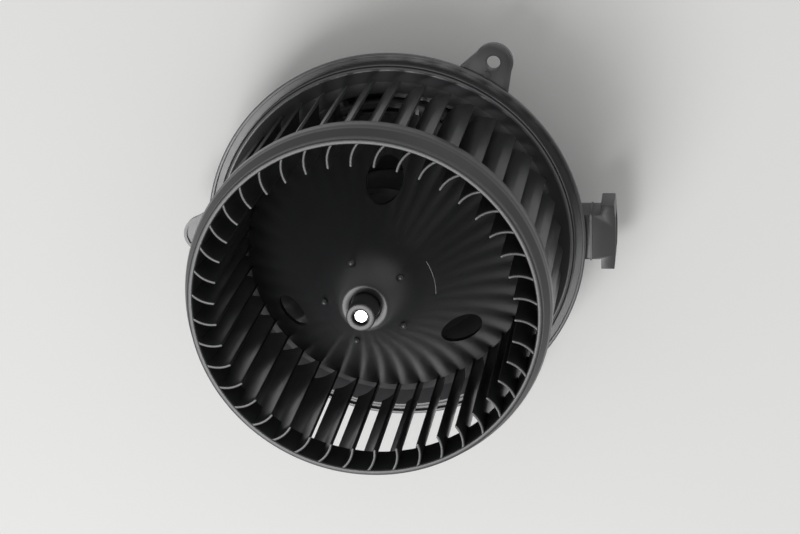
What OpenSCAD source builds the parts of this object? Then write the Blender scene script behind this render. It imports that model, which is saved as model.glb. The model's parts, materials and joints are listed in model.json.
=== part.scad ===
// Cabin blower motor: a direct-current motor in a moulded mounting flange, with a one-piece
// squirrel-cage fan wheel pressed on its shaft. Millimetres.
// The origin is on the shaft axis, in the plane of the flange's gasket seat and of its ears.
// +Z runs along the shaft towards the open front of the wheel, and +X runs through the connector.

/* [Fan wheel] */
// Diameter of the wheel over the rear lip of its front ring
wheel_d = 152; // [148:0.5:156]
// Height of the wheel from its front face to the back ends of its blades
wheel_h = 82; // [79:0.5:84]
// Height of the wheel's front face above the gasket seat
wheel_front = 90.5; // [90:0.5:94]
// Number of blades
blade_count = 42; // [34:1:46]
// Depth of a blade, measured along a radius
blade_depth = 13.7; // [12.5:0.1:14.5]
// Thickness of a blade
blade_t = 1.1; // [0.9:0.1:1.4]
// Radius of the curve of a blade
blade_curve_r = 12.5; // [12:0.5:16]
// Straight length at the inner edge of a blade
blade_straight = 1; // [0.5:0.5:2]
// How far the ring's rear lip stands out past the blades
lip_proud = 1; // [0.6:0.1:1.4]
// Height of the slanted cut at the back end of a blade
blade_cut_h = 2.5; // [2:0.5:8]
// Width of the slanted cut at the back end of a blade
blade_cut_w = 4.5; // [3:0.5:6]
// Angle of the first blade at rest
wheel_turn = -2.66; // [-8:0.01:8]

/* [Front ring] */
// Height of the front ring
ring_h = 15.5; // [13:0.5:18]
// Height of the ring's rounded nose
ring_nose_h = 5.8; // [4.5:0.1:7]
// Width of the ring's front face
ring_w = 2.3; // [2:0.1:2.8]
// How far the ring widens from its nose to its rear lip
ring_flare = 3.1; // [2.5:0.1:3.8]
// Wall of the ring
ring_t = 1.5; // [1.2:0.1:2]
// Height of the ring's inner wall
ring_skirt_h = 17.4; // [16:0.1:20]
// How far that wall runs in towards its rear edge
ring_skirt_lean = 0.6; // [0:0.1:1]

/* [Hub of the wheel] */
// Wall of the cone
hub_t = 2; // [1.6:0.1:2.6]
// Height of the cone's rim above the back ends of the blades
hub_rim_rise = 12; // [10:0.5:15]
// How far the rim of the cone reaches out past the inner edges of the blades
hub_rim_w = 1.7; // [1.4:0.1:2.2]
// Radius of the cone's rounded top
nose_r = 18; // [17:0.5:21]
// Depth of the cone's top edge below the wheel's front face
nose_drop = 12.6; // [11:0.1:14]
// Radius of the curve from the cone up to its collar
dome_r = 11.1; // [9:0.1:12]
// Radius of the hollow between that curve and the collar
collar_fillet = 1.6; // [1:0.1:2]
// Diameter of the boss that grips the shaft
boss_d = 11.2; // [10.5:0.1:12.5]
// How far the boss stands past the wheel's front face
boss_proud = 6; // [4:0.5:8]
// Length of the boss below the cone's wall
boss_tail = 10; // [8:0.5:11.5]
// Diameter of the collar round the boss
collar_d = 19.2; // [18:0.1:21]
// Depth of the collar's top below the wheel's front face
collar_drop = 5.3; // [4:0.1:6.5]
// Depth of the groove between the boss and the collar
collar_groove = 5; // [3:0.5:6]
// Number of round holes in the cone
hub_hole_count = 3; // [2:1:5]
// Diameter of those holes
hub_hole_d = 15.6; // [12:0.1:17]
// Radius of the circle that those holes lie on
hub_hole_r = 42.2; // [38:0.1:46]
// Angle of the first of those holes at rest
hub_hole_turn = 84.5; // [0:0.5:120]
// Number of small pips on the cone
pip_count = 5; // [3:1:8]
// Diameter of a pip
pip_d = 1.8; // [1.2:0.1:2.4]
// Angle of the first pip at rest
pip_turn = 37; // [0:0.5:72]

/* [Motor] */
// Outer diameter of the steel can
can_d = 62; // [60:0.5:64]
// Wall of the can
can_t = 1.8; // [1.4:0.1:2.2]
// Length of the can
can_l = 76; // [75:0.5:80]
// Height of the can's front face above the gasket seat
can_top = 56; // [54:0.5:57.5]
// Radius of the can's shoulder
can_round = 5; // [3:0.5:7]
// Thickness of the rolled band round the can
flux_t = 1.8; // [1.2:0.1:2.4]
// Width of the rolled band
flux_w = 32; // [26:0.5:34]
// Diameter of the shaft
shaft_d = 6; // [5:0.5:7]
// How far the shaft's end lies below the end of the boss
shaft_inset = 1.5; // [0.5:0.5:3]
// Length of a magnet
magnet_l = 40; // [36:0.5:42]
// Angle that a magnet spans
magnet_span = 128; // [110:2:134]
// Gap between the armature and a magnet
air_gap = 0.7; // [0.5:0.1:1]
// Thickness of a magnet
magnet_t = 5.9; // [5:0.1:6.5]
// Length of the stack of laminations
core_l = 36; // [32:0.5:38]
// Height of the magnets' lower end above the gasket seat
magnet_z = 4; // [3:0.5:6]
// Number of slots in the armature
slot_count = 12; // [8:2:12]
// Diameter of the commutator
commutator_d = 18; // [16:0.5:20]
// Length of the commutator's bars
commutator_l = 11; // [10:0.5:12]

/* [Brush gear] */
// Width of a brush
brush_w = 6; // [5:0.5:7]
// Height of a brush
brush_h = 5.5; // [5:0.5:6.5]
// Length of a brush
brush_l = 8.5; // [7:0.5:9.5]
// Wall of a brush box
brush_box_t = 0.8; // [0.6:0.1:1]
// Diameter of a brush spring
spring_d = 4; // [3.5:0.1:4.4]
// Diameter of the wire of a brush spring
spring_wire = 0.6; // [0.5:0.1:0.8]
// Number of turns in a brush spring
spring_turns = 4; // [3:1:5]
// Diameter of a suppression choke's core
choke_core_d = 3.2; // [2.8:0.1:4]
// Diameter of the wire of a choke
choke_wire = 1; // [0.8:0.1:1.1]
// Number of turns in a choke
choke_turns = 6; // [5:1:6]
// Length of a choke's core
choke_l = 9; // [8:0.5:10]

/* [Flange] */
// Diameter of the flange without its ears
flange_d = 169.8; // [167:0.2:174]
// Width of the raised wall inside the gasket channel
crest_w = 2.7; // [2.4:0.1:3.5]
// Height of that wall above the gasket seat
crest_h = 5.5; // [4.5:0.1:6.5]
// Width of the gasket channel
channel_w = 3; // [2.5:0.1:4]
// Width of the lip outside the gasket channel
rim_w = 1.5; // [1.2:0.1:2.2]
// Height of that lip above the gasket seat
rim_h = 1.6; // [1:0.1:2.2]
// Thickness of the flange's edge below the gasket seat
edge_t = 3; // [2.5:0.1:4]
// How far the flange's edge runs in towards its underside
edge_lean = 1.6; // [1:0.1:2.2]
// Wall of the flange's moulding
flange_t = 2.5; // [2:0.1:3]
// Gap between the can and the wall of the cup that holds it
cup_gap = 5.3; // [4.8:0.1:6]
// Wall of the cup
cup_t = 2.5; // [2:0.1:3.2]
// Thickness of the cup's floor
cup_floor_t = 3; // [2.5:0.1:4]
// Height of the shelf that carries the rear isolator
cup_shelf_h = 8.5; // [8:0.5:11]
// Number of stiffening ribs under the flange
rib_count = 12; // [6:1:16]
// Thickness of a stiffening rib
rib_t = 1.8; // [1.2:0.1:2.4]

/* [Ears] */
// Angle of the screw ear
ear_turn = 60; // [54:1:66]
// Angle from one ear to the next
ear_step = 119; // [116:1:120]
// Distance from the flange's edge out to the centre of the screw ear's hole
ear_reach = 7.6; // [6.5:0.1:9]
// Distance from the flange's edge out to the centre of the round end of a plain lug
lug_reach = 3; // [2.4:0.1:4]
// Radius of the round end of an ear or a lug
ear_round = 8.5; // [7.5:0.1:9.5]
// Diameter of the screw hole
ear_hole_d = 5.8; // [5:0.1:6.6]
// Half the angle over which an ear leaves the flange's edge
ear_root = 8; // [8:0.5:10]
// Thickness of an ear
ear_t = 2; // [1.8:0.1:3]
// Height of the bead round an ear
ear_bead_h = 0.9; // [0.5:0.1:1.2]
// Width of the bead round an ear
ear_bead_w = 1.3; // [1:0.1:1.8]

/* [Connector] */
// Width of the connector's neck
neck_w = 20.6; // [19.5:0.1:23]
// Height of the connector's neck
neck_h = 17.5; // [16:0.1:19]
// Width of the collar at the connector's mouth
mouth_w = 29.6; // [27:0.1:32]
// Radius of the shallow bow of the mouth
mouth_bow_r = 140; // [120:10:300]
// Length of that collar
mouth_l = 6.6; // [5:0.1:8]
// How far the mouth lies outside the flange's edge
mouth_reach = 13; // [11:0.1:15]
// Wall of the connector
socket_t = 2; // [1.6:0.1:2.4]
// Depth of the socket
socket_depth = 23; // [20:0.5:24]
// Length of the connector behind the socket
socket_tail = 16; // [14:0.5:18]
// Width of a terminal
terminal_w = 6.3; // [4.8:0.1:6.3]
// Thickness of a terminal
terminal_t = 0.8; // [0.6:0.1:1]
// Distance between the centres of the two terminals
terminal_pitch = 8.4; // [8:0.1:9]
// Diameter of a lead
lead_d = 2.2; // [1.8:0.1:2.6]

/* [Cooling vent] */
// Angle at which the vent starts
vent_start = 63; // [61:1:66]
// Angle that the vent spans
vent_span = 45; // [38:1:47]
// Radius of the vent's outer edge
vent_outer_r = 67; // [66:0.5:69]
// Radius of the vent's inner edge
vent_inner_r = 51; // [49:0.5:53]
// Gap between the vent's outer edge and the curved bar across it
vent_bar_gap = 3.6; // [2.6:0.1:5]
// Width of that bar
vent_bar_w = 2.2; // [1.6:0.1:2.8]
// Height of that bar above the gasket seat
vent_bar_h = 3; // [2:0.1:4]
// Depth of the duct below the gasket seat
duct_depth = 15; // [12:0.5:18]

/* [Motor clamp] */
// Width of the clamp ring outside the cup's mouth
clamp_w = 11.5; // [10.5:0.1:12.5]
// Distance from the cup's mouth out to a clamp screw
screw_reach = 7.2; // [6.8:0.1:7.6]
// Thickness of the clamp ring
clamp_t = 2.5; // [2:0.1:3]
// Length of the skirt that presses on the front isolator
clamp_skirt = 2.6; // [2:0.1:4]
// Number of clamp screws
screw_count = 3; // [3:1:3]
// Angle of the first clamp screw
screw_turn = 30; // [28:1:34]
// Diameter of a clamp screw's shank
screw_d = 3; // [2.5:0.1:3.5]
// Diameter of a clamp screw's head
screw_head_d = 7; // [6:0.1:7.5]
// Height of a clamp screw's head
screw_head_h = 2.2; // [1.8:0.1:2.8]
// Length of a clamp screw's shank
screw_l = 10; // [8:0.5:11]

/* [Fits] */
// Radial running clearance of the shaft in its bushes
running_fit = 0.03; // [0.02:0.01:0.06]
// Clearance between curved faces that are seated on each other
seat_gap = 0.05; // [0.03:0.01:0.1]
// Clearance between the brushes and the commutator
brush_gap = 0.1; // [0.05:0.01:0.2]

/* [Hidden] */
$fn = 96;

// Fan wheel
wheel_r = wheel_d / 2;
wheel_back = wheel_front - wheel_h;
blade_or = wheel_r - lip_proud;
blade_ir = blade_or - blade_depth;
blade_x = blade_ir + blade_straight;
blade_steps = 8;
ring_r = wheel_r - ring_flare;
mouth_r = ring_r - ring_w;
ring_nose_z = wheel_front - ring_nose_h;
ring_lip_z = wheel_front - ring_h;
rim_z = wheel_back + hub_rim_rise;
nose_z = wheel_front - nose_drop;
boss_top = wheel_front + boss_proud;
collar_z = wheel_front - collar_drop;
ring_skirt_z = wheel_front - ring_skirt_h;
cone_slope = (nose_z - rim_z) / (blade_ir - nose_r);
cone_normal = 90 - atan(cone_slope);
hub_drop = hub_t * sqrt(1 + cone_slope * cone_slope);
dome_centre = [nose_r, nose_z] - dome_r * [cos(cone_normal), sin(cone_normal)];
dome_end = acos((collar_d / 2 + 1.2 * collar_fillet - dome_centre[0]) / dome_r);
fillet_centre = dome_centre + (dome_r + collar_fillet) * [cos(dome_end), sin(dome_end)];

// Motor, from the front down
can_r = can_d / 2;
can_ir = can_r - can_t;
can_bottom = can_top - can_l;
can_roof = can_top - can_t;
shaft_r = shaft_d / 2;
shaft_top = boss_top - shaft_inset;
bush_r = shaft_r + 3.45;
bush_l = 7;
hub_wall = 1.7;
retainer_t = 0.5;
retainer_r = bush_r + 4;
washer_t = 0.8;
washer_r = shaft_r + 3;
end_play = 0.3;
front_washer_z = can_roof - retainer_t - end_play - washer_t;
magnet_or = can_ir - seat_gap;
magnet_ir = magnet_or - magnet_t;
core_r = magnet_ir - air_gap;
core_z = magnet_z + (magnet_l - core_l) / 2;
core_top = core_z + core_l;
slot_r = 3;
slot_place = core_r - 5.8;
slot_mouth = 2;
winding_h = 7.5;
winding_round = 3;
winding_or = slot_place + slot_r;
winding_ir = slot_place - slot_r - 2.5;
plate_t = 2.2;
plate_top = can_bottom + plate_t;
card_t = 2;
card_top = plate_top + card_t;
rear_washer_z = plate_top + retainer_t + end_play;
sleeve_r = shaft_r + 2.5;
sleeve_z = rear_washer_z + washer_t;
commutator_r = commutator_d / 2;
commutator_z = card_top + 0.8;
riser_h = 1.4;
bar_gap = 0.6;
shaft_bottom = plate_top - bush_l + 0.4;

// Brush gear
brush_z = card_top + brush_box_t + 0.1;
brush_start = commutator_r + brush_gap;
brush_box_start = commutator_r + 2;
brush_box_end = can_ir - 2.4;
spring_start = brush_start + brush_l;
choke_r = can_ir - 6.6;
choke_turn = 45;
choke_coil_r = choke_core_d / 2 + choke_wire / 2 + seat_gap;
capacitor_size = [6, 9, 5];

// Flange and its cup
cup_ir = can_r + cup_gap;
cup_or = cup_ir + cup_t;
isolator_rear_h = 6;
isolator_front_h = 6;
shelf_z = can_bottom - isolator_rear_h;
cup_floor = shelf_z - cup_shelf_h;
base_z = cup_floor - cup_floor_t;
flange_r = flange_d / 2;
channel_or = flange_r - rim_w;
channel_ir = channel_or - channel_w;
crest_r = channel_ir - crest_w;
crest_round = 0.7;
crest_step = 0.9;
step_z = crest_h - 2;
rim_round = 0.6;
dish_r = crest_r - 5.2;
floor_r = dish_r - 6.5;
dish_z = 2;
vent_bar_r = vent_outer_r - vent_bar_gap;

// Ears
ear_root_x = flange_r * cos(ear_root);
ear_root_y = flange_r * sin(ear_root);
nub_r = 1.4;

// Connector
neck_top = -edge_t;
neck_bottom = neck_top - neck_h;
mouth_r_out = flange_r + mouth_reach;
mouth_x = mouth_r_out - mouth_l;
socket_x = mouth_r_out - socket_depth;
web_t = 3;
tail_x = socket_x - socket_tail;
terminal_z = (neck_top + neck_bottom) / 2;
terminal_out = mouth_r_out - 7;
terminal_in = socket_x - web_t - 5;
pocket_gap = 0.15;
pocket_t = 2;
pocket_end = flange_r - 4;
lead_in = choke_r + 1.5;
window_w = terminal_pitch + lead_d + 3;
window_h = lead_d + 3;
grommet_t = 0.8;

// Clamp
clamp_ir = can_r + flux_t + 0.5;
clamp_or = cup_ir + clamp_w;
screw_r = cup_ir + screw_reach;
pilot_gap = 0.05;
screw_boss_r = screw_d / 2 + 2.4;
isolator_top = -clamp_skirt;

// General shapes

// Places its children on a circle, count times, from the angle start.
module around(count, start = 0) {
    for (i = [0 : count - 1]) rotate([0, 0, start + i * 360 / count]) children();
}

// Flat ring or tube.
module tube(outer, inner, height) {
    difference() {
        cylinder(r = outer, h = height);
        translate([0, 0, -1]) cylinder(r = inner, h = height + 2);
    }
}

// Ring sector between two radii, from one angle over a span below 180 degrees.
module sector(outer, inner, start, span, height) {
    reach = outer / cos(span / 2) + 1;
    middle = start + span / 2;
    intersection() {
        tube(outer, inner, height);
        translate([0, 0, -1]) linear_extrude(height = height + 2)
            polygon([[0, 0],
                     reach * [cos(start), sin(start)],
                     reach * 1.2 * [cos(middle), sin(middle)],
                     reach * [cos(start + span), sin(start + span)]]);
    }
}

// Points of an arc round a centre, from one angle to another.
function arc(centre, radius, from, to, steps) =
    [for (i = [0 : steps])
        let (a = from + (to - from) * i / steps)
        centre + radius * [cos(a), sin(a)]];

// Round wire wound into a helix along +Z, standing on z = 0.
module coil(radius, wire, turns, height) {
    sides = 6;
    per_turn = 14;
    rings = turns * per_turn;
    rise = height - wire;
    points = [for (i = [0 : rings]) let (a = 360 * i / per_turn, z = wire / 2 + rise * i / rings)
        for (j = [0 : sides - 1]) let (b = 360 * j / sides, r = radius + wire / 2 * cos(b))
            [r * cos(a), r * sin(a), z + wire / 2 * sin(b)]];
    walls = [for (i = [0 : rings - 1]) for (j = [0 : sides - 1])
        let (p = i * sides + j, q = i * sides + (j + 1) % sides)
        [p, p + sides, q + sides, q]];
    first = [for (j = [0 : sides - 1]) j];
    last = [for (j = [sides - 1 : -1 : 0]) rings * sides + j];
    polyhedron(points, concat(walls, [first], [last]), convexity = 6);
}

// Fan wheel

// Angle through which the curved part of a blade turns, so that it ends on blade_or.
blade_a = 2 * blade_x * blade_curve_r;
blade_b = 2 * blade_curve_r * blade_curve_r;
blade_turn = atan2(blade_b, blade_a)
    + asin((blade_or * blade_or - blade_x * blade_x - blade_b) / norm([blade_a, blade_b]));

// One side of a blade: the arc offset from the blade's middle line.
function blade_side(offset) =
    arc([blade_x, -blade_curve_r], blade_curve_r + offset, 90, 90 - blade_turn, blade_steps);

module blade_outline() {
    outer = blade_side(blade_t / 2);
    inner = blade_side(-blade_t / 2);
    tip = arc([blade_ir + blade_t / 2, 0], blade_t / 2, 270, 90, 4);
    polygon(concat(tip, outer, [for (i = [blade_steps : -1 : 0]) inner[i]]));
}

module blades() {
    difference() {
        around(blade_count, wheel_turn)
            translate([0, 0, wheel_back])
                linear_extrude(height = wheel_h - 0.2) blade_outline();
        rotate_extrude()
            polygon([[blade_or - blade_cut_w, wheel_back - 1],
                     [blade_or - blade_cut_w, wheel_back],
                     [blade_or + 2, wheel_back + blade_cut_h * (blade_cut_w + 2) / blade_cut_w],
                     [blade_or + 2, wheel_back - 1]]);
        rotate_extrude()
            polygon([[ring_r - 1, wheel_front + 1],
                     [ring_r - 1, wheel_front - 2],
                     [ring_r - 0.4 - ring_t / 2, ring_nose_z],
                     [wheel_r - ring_t / 2, ring_lip_z],
                     [wheel_r + 2, ring_lip_z],
                     [wheel_r + 2, wheel_front + 1]]);
    }
}

module front_ring() {
    rotate_extrude()
        polygon(concat(
            arc([mouth_r + 0.5, wheel_front - 0.5], 0.5, 180, 90, 2),
            arc([ring_r - 1.7, wheel_front - 2.1], 1.7, 68, 0, 4),
            [[ring_r, wheel_front - 2.9],
             [ring_r - 0.4, ring_nose_z],
             [ring_r + 0.45 * ring_flare, ring_nose_z - 0.45 * (ring_h - ring_nose_h)],
             [ring_r + 0.45 * ring_flare + 0.25, ring_nose_z - 0.47 * (ring_h - ring_nose_h)]],
            arc([wheel_r - 0.7, ring_lip_z + 0.7], 0.7, 40, -90, 5),
            [[wheel_r - ring_t, ring_lip_z],
             [mouth_r + ring_t, ring_nose_z - 3],
             [mouth_r - ring_skirt_lean + ring_t, ring_skirt_z],
             [mouth_r - ring_skirt_lean, ring_skirt_z]]));
}

module cone_hub() {
    rim_r = blade_ir + hub_rim_w;
    neck_r = collar_d / 2;
    groove_r = boss_d / 2 + 1.2;
    inner_r = rim_r - hub_t * 0.8;
    tail_r = boss_d / 2 + 1.4;
    roof_z = collar_z - collar_groove - hub_t;
    rotate_extrude()
        polygon(concat(
            [[0, boss_top], [boss_d / 2 - 0.5, boss_top], [boss_d / 2, boss_top - 0.5],
             [boss_d / 2, collar_z - collar_groove], [groove_r, collar_z - collar_groove]],
            arc([groove_r + 0.8, collar_z - 0.8], 0.8, 180, 90, 3),
            arc([neck_r - 1, collar_z - 1], 1, 90, 10, 3),
            arc(fillet_centre, collar_fillet, 185, 180 + dome_end, 4),
            [for (i = [1 : 6]) let (a = dome_end + (cone_normal - dome_end) * i / 6)
                dome_centre + dome_r * [cos(a), sin(a)]],
            arc([rim_r - 2, rim_z - 1.9], 2, cone_normal, 0, 3),
            [[rim_r, rim_z - 5.5], [inner_r, rim_z - 5.5], [inner_r, rim_z - hub_drop],
             [nose_r, nose_z - hub_drop], [neck_r + 2.4, roof_z], [tail_r, roof_z],
             [tail_r, nose_z - hub_t - boss_tail], [0, nose_z - hub_t - boss_tail]]));
}

module cone_pips() {
    around(pip_count, pip_turn)
        translate([nose_r - 0.2, 0, nose_z - 0.2]) cylinder(d = pip_d, h = 1, $fn = 24);
}

module fan_wheel() {
    color([0.10, 0.10, 0.11])
    difference() {
        union() {
            blades();
            front_ring();
            cone_hub();
            cone_pips();
        }
        translate([0, 0, wheel_back]) cylinder(r = shaft_r + seat_gap, h = wheel_h + boss_proud + 1);
        translate([0, 0, boss_top - shaft_inset - 1]) cylinder(r = shaft_r + 0.4, h = shaft_inset + 2);
        around(hub_hole_count, hub_hole_turn)
            translate([hub_hole_r, 0, rim_z]) cylinder(d = hub_hole_d, h = wheel_h);
    }
}

// Turning parts of the motor

module motor_shaft() {
    chamfer = 0.5;
    color([0.78, 0.78, 0.80])
    rotate_extrude()
        polygon([[0, shaft_bottom], [shaft_r - chamfer, shaft_bottom],
                 [shaft_r, shaft_bottom + chamfer], [shaft_r, shaft_top - chamfer],
                 [shaft_r - chamfer, shaft_top], [0, shaft_top]]);
}

module armature_core() {
    color([0.45, 0.45, 0.47])
    translate([0, 0, core_z])
    difference() {
        cylinder(r = core_r, h = core_l);
        translate([0, 0, -1]) {
            cylinder(r = shaft_r + seat_gap, h = core_l + 2);
            around(slot_count) {
                translate([slot_place, 0, 0]) cylinder(r = slot_r, h = core_l + 2, $fn = 48);
                translate([slot_place, -slot_mouth / 2, 0])
                    cube([core_r - slot_place + 1, slot_mouth, core_l + 2]);
            }
        }
    }
}

// Bundles of wire through the slots, with a rounded ring of end turns at each end.
module armature_winding() {
    color([0.72, 0.38, 0.20])
    union() {
        around(slot_count)
            translate([slot_place, 0, core_z - 1])
                cylinder(r = slot_r - seat_gap, h = core_l + 2, $fn = 48);
        translate([0, 0, core_top]) end_turns();
        translate([0, 0, core_z]) mirror([0, 0, 1]) end_turns();
    }
}

module end_turns() {
    rotate_extrude()
        polygon(concat(
            [[winding_ir, 0], [winding_or, 0]],
            arc([winding_or - winding_round, winding_h - winding_round], winding_round, 0, 90, 4),
            arc([winding_ir + winding_round, winding_h - winding_round], winding_round, 90, 180, 4)));
}

module armature_spacer() {
    color([0.85, 0.82, 0.72])
    translate([0, 0, core_top])
        tube(sleeve_r, shaft_r + seat_gap, front_washer_z - core_top);
}

module commutator_sleeve() {
    color([0.25, 0.12, 0.08])
    translate([0, 0, sleeve_z]) tube(sleeve_r, shaft_r + seat_gap, core_z - sleeve_z);
}

module commutator_bars() {
    span = 360 / slot_count - 2 * asin(bar_gap / commutator_d);
    color([0.80, 0.47, 0.27])
    around(slot_count, -span / 2) {
        translate([0, 0, commutator_z])
            sector(commutator_r, sleeve_r + seat_gap, 0, span, commutator_l);
        translate([0, 0, commutator_z + commutator_l - riser_h])
            sector(commutator_r + 1.2, commutator_r - 1, 0, span, riser_h);
    }
}

module thrust_washer(z) {
    color([0.70, 0.62, 0.42])
    translate([0, 0, z]) tube(washer_r, shaft_r + seat_gap, washer_t);
}

module thrust_washer_front() {
    thrust_washer(front_washer_z);
}

module thrust_washer_rear() {
    thrust_washer(rear_washer_z);
}

// Motor casing

module motor_can() {
    hub_or = bush_r + hub_wall;
    hub_top = can_roof + bush_l + hub_wall;
    color([0.16, 0.16, 0.17])
    difference() {
        rotate_extrude()
            polygon(concat(
                [[shaft_r + 0.7, hub_top], [hub_or - 0.8, hub_top], [hub_or, hub_top - 0.8],
                 [hub_or, can_top]],
                arc([can_r - can_round, can_top - can_round], can_round, 90, 0, 6),
                [[can_r, can_bottom], [can_ir, can_bottom]],
                arc([can_r - can_round, can_top - can_round], can_round - can_t, 0, 90, 6),
                [[bush_r + seat_gap, can_roof], [bush_r + seat_gap, can_roof + bush_l],
                 [shaft_r + 0.7, can_roof + bush_l]]));
        translate([can_ir - 2, -window_w / 2, terminal_z - window_h / 2])
            cube([can_t + 4, window_w, window_h]);
    }
}

module flux_ring() {
    slit = 1.2;
    color([0.42, 0.43, 0.44])
    difference() {
        translate([0, 0, isolator_top]) tube(can_r + seat_gap + flux_t, can_r + seat_gap, flux_w);
        translate([-can_r - flux_t - 2, -slit / 2, isolator_top - 1])
            cube([flux_t + 4, slit, flux_w + 2]);
    }
}

module magnet(middle) {
    color([0.20, 0.20, 0.21])
    translate([0, 0, magnet_z])
        sector(magnet_or, magnet_ir, middle - magnet_span / 2, magnet_span, magnet_l);
}

module magnet_left() {
    magnet(90);
}

module magnet_right() {
    magnet(270);
}

// Bowed strip with two legs that holds the magnets apart and against the can.
module magnet_spring(middle) {
    strip = 0.8;
    shorter = 3;
    half = 90 - magnet_span / 2 - 0.3;
    leg = asin(strip / magnet_ir);
    leg_turn = half - 0.3 - leg / 2;
    color([0.60, 0.61, 0.63])
    translate([0, 0, magnet_z + shorter])
        union() {
            sector(magnet_or, magnet_or - strip, middle - half, 2 * half, magnet_l - 2 * shorter);
            for (side = [-1, 1])
                sector(magnet_or - strip / 2, magnet_ir + 1, middle + side * leg_turn - leg / 2, leg,
                    magnet_l - 2 * shorter);
        }
}

module magnet_spring_front() {
    magnet_spring(0);
}

module magnet_spring_back() {
    magnet_spring(180);
}

module bush(z) {
    color([0.72, 0.58, 0.36])
    translate([0, 0, z]) tube(bush_r, shaft_r + running_fit, bush_l);
}

module bush_front() {
    bush(can_roof);
}

module bush_rear() {
    bush(plate_top - bush_l);
}

// Spring washer with a slotted inner edge that holds a bush in its pocket.
module bush_retainer(z) {
    bore = 1.5 * shaft_r;
    notch_end = (bore + retainer_r) / 2;
    notch_w = shaft_r / 3;
    color([0.66, 0.67, 0.69])
    translate([0, 0, z])
    difference() {
        cylinder(r = retainer_r, h = retainer_t);
        translate([0, 0, -1]) {
            cylinder(r = bore, h = retainer_t + 2);
            around(6) translate([shaft_r, -notch_w / 2, 0])
                cube([notch_end - shaft_r, notch_w, retainer_t + 2]);
        }
    }
}

module bush_retainer_front() {
    bush_retainer(can_roof - retainer_t);
}

module bush_retainer_rear() {
    bush_retainer(plate_top);
}

module end_plate() {
    hub_or = bush_r + hub_wall;
    pocket_z = plate_top - bush_l;
    color([0.62, 0.63, 0.64])
    rotate_extrude()
        polygon([[0, pocket_z - hub_wall], [hub_or - 0.8, pocket_z - hub_wall],
                 [hub_or, pocket_z - hub_wall + 0.8], [hub_or, can_bottom],
                 [can_ir - seat_gap, can_bottom], [can_ir - seat_gap, plate_top],
                 [bush_r + seat_gap, plate_top], [bush_r + seat_gap, pocket_z], [0, pocket_z]]);
}

// Brush gear

module brush_card() {
    color([0.55, 0.42, 0.25])
    translate([0, 0, plate_top]) tube(can_ir - 0.3, retainer_r + 0.5, card_t);
}

// Open-ended brass box that guides a brush towards the commutator.
module brush_box(side) {
    width = brush_w + 2 * (brush_box_t + 0.1);
    height = brush_h + 2 * (brush_box_t + 0.1);
    length = brush_box_end - brush_box_start;
    color([0.82, 0.68, 0.32])
    mirror([0, side < 0 ? 1 : 0, 0])
    translate([-width / 2, brush_box_start, card_top])
    difference() {
        cube([width, length, height]);
        translate([brush_box_t, -1, brush_box_t])
            cube([brush_w + 0.2, length + 1 - brush_box_t, brush_h + 0.2]);
    }
}

module brush_box_left() {
    brush_box(1);
}

module brush_box_right() {
    brush_box(-1);
}

module brush(side) {
    color([0.13, 0.13, 0.14])
    mirror([0, side < 0 ? 1 : 0, 0])
    difference() {
        translate([-brush_w / 2, commutator_r - 1, brush_z])
            cube([brush_w, brush_l + 1 + brush_gap, brush_h]);
        translate([0, 0, brush_z - 1]) cylinder(r = brush_start, h = brush_h + 2);
    }
}

module brush_left() {
    brush(1);
}

module brush_right() {
    brush(-1);
}

module brush_spring(side) {
    length = brush_box_end - brush_box_t - spring_start - 0.2;
    color([0.75, 0.76, 0.78])
    mirror([0, side < 0 ? 1 : 0, 0])
    translate([0, spring_start + 0.1, brush_z + brush_h / 2])
        rotate([-90, 0, 0]) coil((spring_d - spring_wire) / 2, spring_wire, spring_turns, length);
}

module brush_spring_left() {
    brush_spring(1);
}

module brush_spring_right() {
    brush_spring(-1);
}

module choke_place(side) {
    rotate([0, 0, side * choke_turn]) translate([choke_r, 0, card_top]) children();
}

module choke_core(side) {
    color([0.24, 0.24, 0.25])
    choke_place(side) cylinder(d = choke_core_d, h = choke_l, $fn = 32);
}

module choke_core_left() {
    choke_core(1);
}

module choke_core_right() {
    choke_core(-1);
}

module choke_coil(side) {
    color([0.72, 0.36, 0.18])
    choke_place(side) translate([0, 0, 0.2])
        coil(choke_coil_r, choke_wire, choke_turns, choke_l - 0.8);
}

module choke_coil_left() {
    choke_coil(1);
}

module choke_coil_right() {
    choke_coil(-1);
}

module capacitor() {
    color([0.68, 0.30, 0.12])
    translate([-choke_r - capacitor_size[0] / 2, -capacitor_size[1] / 2, card_top])
        cube(capacitor_size);
}

// Mounting flange

// Outline of an ear whose round end is centred at end_r, drawn inside its edge by inset.
module ear_outline(end_r, inset = 0) {
    span = norm([ear_root_x - end_r, ear_root_y]);
    lean = atan2(ear_root_y, ear_root_x - end_r) - acos(ear_round / span);
    normal = [cos(lean), sin(lean)];
    root = [ear_root_x, ear_root_y] - inset * normal;
    run_in = 0.96;
    shoulder = [end_r, 0] + run_in * (ear_round - inset) * normal;
    inner_x = flange_r - 6;
    translate([end_r, 0]) circle(r = ear_round - inset);
    polygon([[inner_x, -root[1]], [root[0], -root[1]], [shoulder[0], -shoulder[1]],
             [shoulder[0], shoulder[1]], [root[0], root[1]], [inner_x, root[1]]]);
}

// Flat ear with a bead along its edge.
module ear_plate(end_r) {
    difference() {
        union() {
            translate([0, 0, -ear_t]) linear_extrude(height = ear_t) ear_outline(end_r);
            difference() {
                linear_extrude(height = ear_bead_h) ear_outline(end_r);
                translate([0, 0, -1]) linear_extrude(height = ear_bead_h + 2)
                    ear_outline(end_r, ear_bead_w);
                translate([0, 0, -1]) cylinder(r = channel_or + rim_w / 2, h = ear_bead_h + 2);
            }
        }
        translate([0, 0, -ear_t - 1]) cylinder(r = channel_ir, h = ear_t + ear_bead_h + 2);
    }
}

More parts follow.
